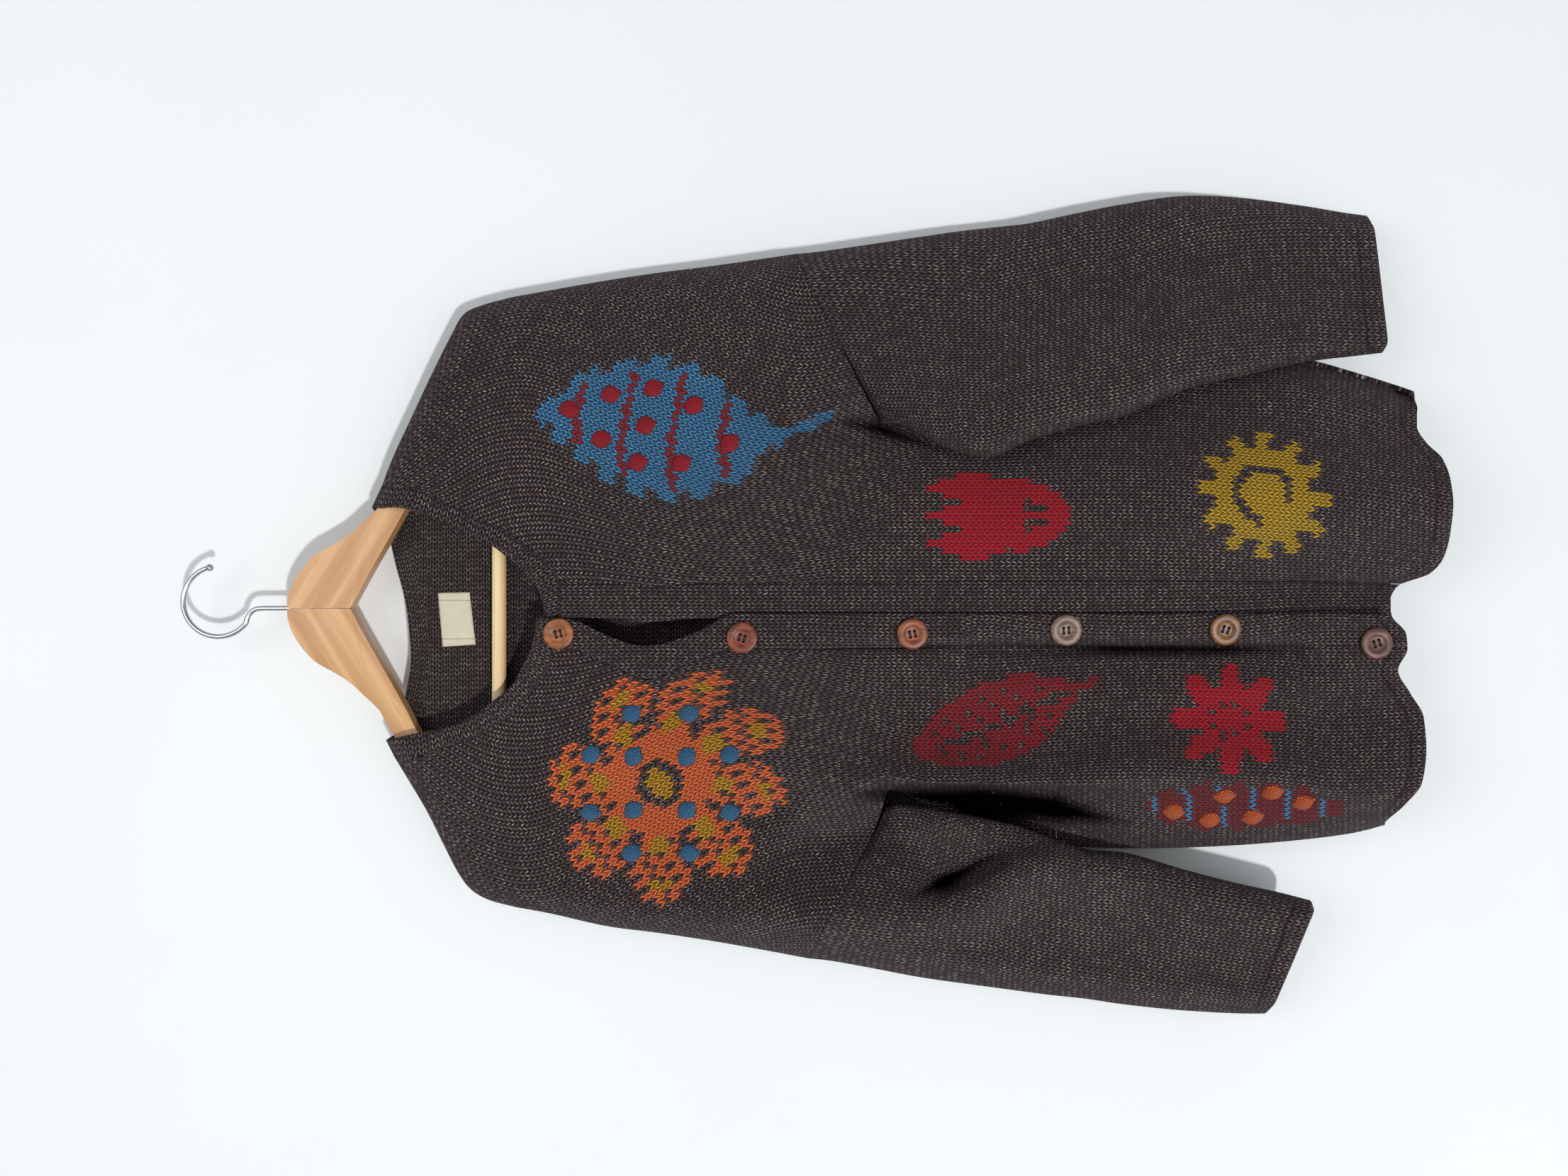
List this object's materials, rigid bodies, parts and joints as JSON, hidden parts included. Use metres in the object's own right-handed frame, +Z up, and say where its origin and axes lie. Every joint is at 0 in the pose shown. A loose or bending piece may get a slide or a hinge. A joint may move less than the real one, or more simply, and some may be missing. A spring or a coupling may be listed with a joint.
{
  "type": "cardigan on a hanger",
  "caption": "Hand-knitted button-front cardigan with picture knitting and bobbles, hung open-necked on a wooden hanger with a trouser bar and steel hook.",
  "frame": {"origin": "the inner top of the hanger's hook, where a nail, peg or rail carries it", "axes": "+Z up along the hanging garment, front faces -Y, +X to the viewer's right (the wearer's left)"},
  "size_m": [0.608, 0.0897, 0.9206],
  "materials": {
    "yarn": "chunky wool-blend stockinette, flecked charcoal, matt and fuzzy",
    "button": "mottled tan to red-brown four-hole buttons, semi-gloss",
    "woven_label": "woven cream tape, blank",
    "wood": "honey beech, satin varnish",
    "pale_wood": "pale round bar, unvarnished",
    "steel": "bright plated steel wire"
  },
  "bodies": {
    "root": {"back": "yarn", "front_right": "yarn", "front_left": "yarn", "sleeve_right": "yarn", "sleeve_left": "yarn", "band_right": "yarn", "band_left": "yarn", "neckband_right": "yarn", "neckband_left": "yarn", "neckband_back": "yarn", "button_1": "button", "button_2": "button", "button_3": "button", "button_4": "button", "button_5": "button", "button_6": "button", "label": "woven_label", "hanger_arm_right": "wood", "hanger_arm_left": "wood", "hanger_bar": "pale_wood", "hook": "steel"}
  },
  "joints": []
}
